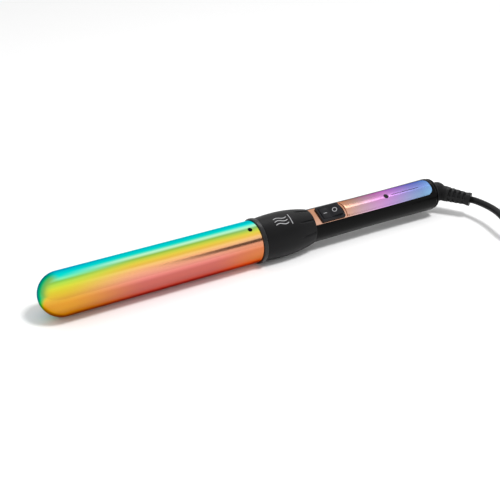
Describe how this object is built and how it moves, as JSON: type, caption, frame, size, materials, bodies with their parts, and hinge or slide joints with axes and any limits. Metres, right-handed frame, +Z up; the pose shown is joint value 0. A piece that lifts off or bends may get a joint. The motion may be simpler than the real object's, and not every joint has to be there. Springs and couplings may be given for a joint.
{
  "type": "curling wand",
  "caption": "Clipless curling wand: round domed heated barrel, flared collar, slim handle with inlay and rocker switch, swivelling mains cord with plug.",
  "frame": {"origin": "under the middle of the wand, on the surface that it lies on, cord left out", "axes": "+X along the wand from the barrel's tip to the handle, +Z up"},
  "size_m": [0.4763, 0.1203, 0.0344],
  "materials": {
    "barrel_coating": "polished iridescent ceramic-style coating on drawn aluminium",
    "satin_black": "heat-proof moulded plastic, satin",
    "gloss_black": "moulded plastic, semi-gloss",
    "inlay": "anodised colour gradient, polished, bevelled edge",
    "switch_black": "fine satin",
    "mark_white": "printed white",
    "steel": "zinc-plated screws and springs",
    "black_steel": "black oxide screw",
    "aluminium": "extruded",
    "ceramic": "fired ceramic, dark grey",
    "brass": "pressed brass",
    "film": "amber polyimide film",
    "holder": "heat-proof phenolic, cream",
    "board": "green solder mask",
    "component_black": "moulded epoxy",
    "component_yellow": "moulded box",
    "component_tan": "lacquered body",
    "lead_red": "silicone insulation",
    "lead_white": "silicone insulation",
    "lead_blue": "PVC insulation",
    "rubber_black": "flexible PVC, satin",
    "tie": "plastic tie"
  },
  "bodies": {
    "wand": {"barrel": "barrel_coating", "barrel_screw": "black_steel", "heat_spreader_upper": "aluminium", "heat_spreader_lower": "aluminium", "heating_plates": "ceramic", "heater_electrodes": "brass", "heater_wrap": "film", "spreader_springs": "steel", "thermistor": "component_black", "thermal_fuse": "steel", "barrel_holder": "holder", "front_ring": "satin_black", "front_collar": "satin_black", "collar_screw": "black_steel", "handle_upper": "gloss_black", "handle_lower": "gloss_black", "handle_screws": "steel", "inlay_plate": "inlay", "switch_housing": "switch_black", "switch_terminals": "brass", "circuit_board": "board", "board_screws": "steel", "triac": "component_black", "film_capacitor": "component_yellow", "resistors": "component_tan", "control_chip": "component_black", "heater_leads": "lead_red", "sensor_leads": "lead_white", "mains_leads": "lead_blue", "end_cap": "satin_black", "brush_carrier": "satin_black", "brush_springs": "brass"},
    "rocker": {"switch_rocker": "switch_black", "rocker_marks": "mark_white", "switch_plunger": "holder", "plunger_spring": "steel"},
    "blade": {"contact_blade": "brass"},
    "cord": {"swivel_rotor": "satin_black", "slip_rings": "brass", "retaining_clip": "steel", "swivel_elbow": "satin_black", "strain_relief": "rubber_black", "cord_tube": "rubber_black", "cord_coil": "rubber_black", "cord_tail": "rubber_black", "cord_tie": "tie", "plug_body": "rubber_black", "plug_blades": "steel"}
  },
  "joints": [
    {"name": "rocker_tilt", "type": "hinge", "parent": "wand", "child": "rocker", "pos_m": [0.06265, -0.00394, 0.02529], "axis": [0, 0.8988, 0.4384], "range_deg": [0, 22]},
    {"name": "blade_rock", "type": "hinge", "parent": "wand", "child": "blade", "pos_m": [0.06265, -0.00101, 0.01927], "axis": [0, 0.8988, 0.4384], "range_deg": [-16, 0]},
    {"name": "cord_swivel", "type": "hinge", "parent": "wand", "child": "cord", "pos_m": [0.16735, 0, 0.0172], "axis": [1, 0, 0], "continuous": true}
  ],
  "couplings": [
    {"joint": "blade_rock", "follows": "rocker_tilt", "ratio": -0.72727}
  ]
}
